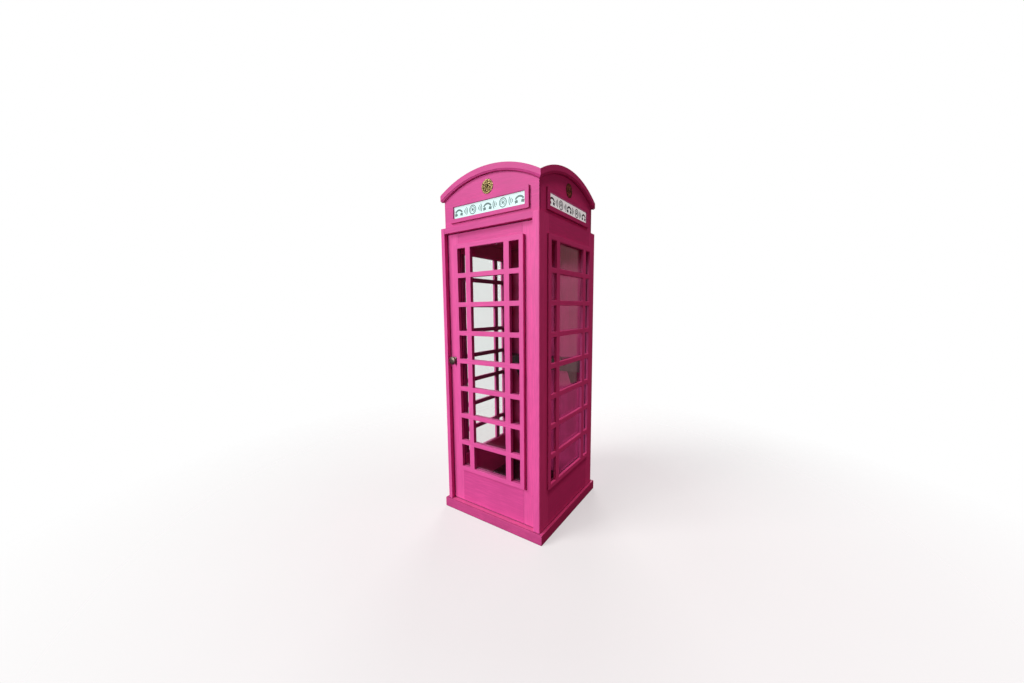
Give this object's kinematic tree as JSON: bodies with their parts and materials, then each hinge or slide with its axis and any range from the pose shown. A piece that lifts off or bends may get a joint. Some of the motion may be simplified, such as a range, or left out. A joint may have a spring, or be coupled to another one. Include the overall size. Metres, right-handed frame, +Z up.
{
  "type": "telephone booth",
  "caption": "Square timber telephone booth with a hinged glazed door, glazed side walls, arched sign box, plinth, and an inner shelf with a dial telephone.",
  "frame": {"origin": "on the floor, at the centre of the plinth's footprint", "axes": "+Z up; the door faces -Y, its knob is on the -X side and its hinges are on the +X side"},
  "size_m": [0.854, 0.9, 2.444],
  "materials": {
    "pink_paint": "satin brushed paint over timber",
    "inner_paint": "satin brushed paint over timber, darker",
    "floor_paint": "worn dark floor paint",
    "black_paint": "satin black paint over timber",
    "glass": "clear, smooth",
    "hinge_metal": "painted over, worn at the knuckles",
    "steel": "brushed",
    "brass": "aged, darkened in the hollows",
    "knob_metal": "antique, polished on the face",
    "opal_panel": "opal, slightly glossy",
    "black_plastic": "moulded, glossy",
    "dial_metal": "satin"
  },
  "bodies": {
    "booth": {"arch_moulding_back": "pink_paint", "arch_moulding_front": "pink_paint", "arch_moulding_left": "pink_paint", "arch_moulding_right": "pink_paint", "back_panel": "pink_paint", "bearer_left": "inner_paint", "bearer_right": "inner_paint", "ceiling_board": "inner_paint", "door_stop": "pink_paint", "fascia_back": "pink_paint", "fascia_front": "pink_paint", "fascia_left": "pink_paint", "fascia_right": "pink_paint", "floor_deck": "floor_paint", "glass_left": "glass", "glass_right": "glass", "glazing_bars_left": "pink_paint", "glazing_bars_right": "pink_paint", "head_front": "pink_paint", "hinge_1_post_leaf": "hinge_metal", "hinge_2_post_leaf": "hinge_metal", "hinge_3_post_leaf": "hinge_metal", "lower_panel_left": "pink_paint", "lower_panel_right": "pink_paint", "phone_body": "black_plastic", "plinth_back": "pink_paint", "plinth_front": "pink_paint", "plinth_left": "pink_paint", "plinth_right": "pink_paint", "post_back_left": "pink_paint", "post_back_right": "pink_paint", "post_front_left": "pink_paint", "post_front_right": "pink_paint", "roof_skin": "inner_paint", "rosette_back": "brass", "rosette_front": "brass", "rosette_left": "brass", "rosette_right": "brass", "shelf": "black_paint", "sign_panel_back": "opal_panel", "sign_panel_front": "opal_panel", "sign_panel_left": "opal_panel", "sign_panel_right": "opal_panel", "sill": "pink_paint", "strike_plate": "steel", "top_rail_left": "pink_paint", "top_rail_right": "pink_paint"},
    "door": {"door_glass": "glass", "door_glazing_bars": "pink_paint", "door_lower_panel": "pink_paint", "door_stile_hinge": "pink_paint", "door_stile_latch": "pink_paint", "door_top_rail": "pink_paint", "hinge_1_door_leaf": "hinge_metal", "hinge_2_door_leaf": "hinge_metal", "hinge_3_door_leaf": "hinge_metal", "knob": "knob_metal"},
    "catch": {"catch_plunger": "steel"},
    "dial": {"phone_dial": "dial_metal"},
    "handset": {"phone_handset": "black_plastic"}
  },
  "joints": [
    {"name": "door_hinge", "type": "hinge", "parent": "booth", "child": "door", "pos_m": [0.351, -0.4109, 1.066], "axis": [0, 0, 1], "range_deg": [0, 105]},
    {"name": "catch_slide", "type": "slide", "parent": "door", "child": "catch", "axis": [1, 0, 0], "range_m": [0, 0.002]},
    {"name": "dial_turn", "type": "hinge", "parent": "booth", "child": "dial", "pos_m": [-0.075, 0.32051, 1.17435], "axis": [0, -0.7303, 0.6832], "range_deg": [-330, 0]},
    {"name": "handset_lift", "type": "slide", "parent": "booth", "child": "handset", "axis": [0, 0, 1], "range_m": [0, 0.12]}
  ]
}
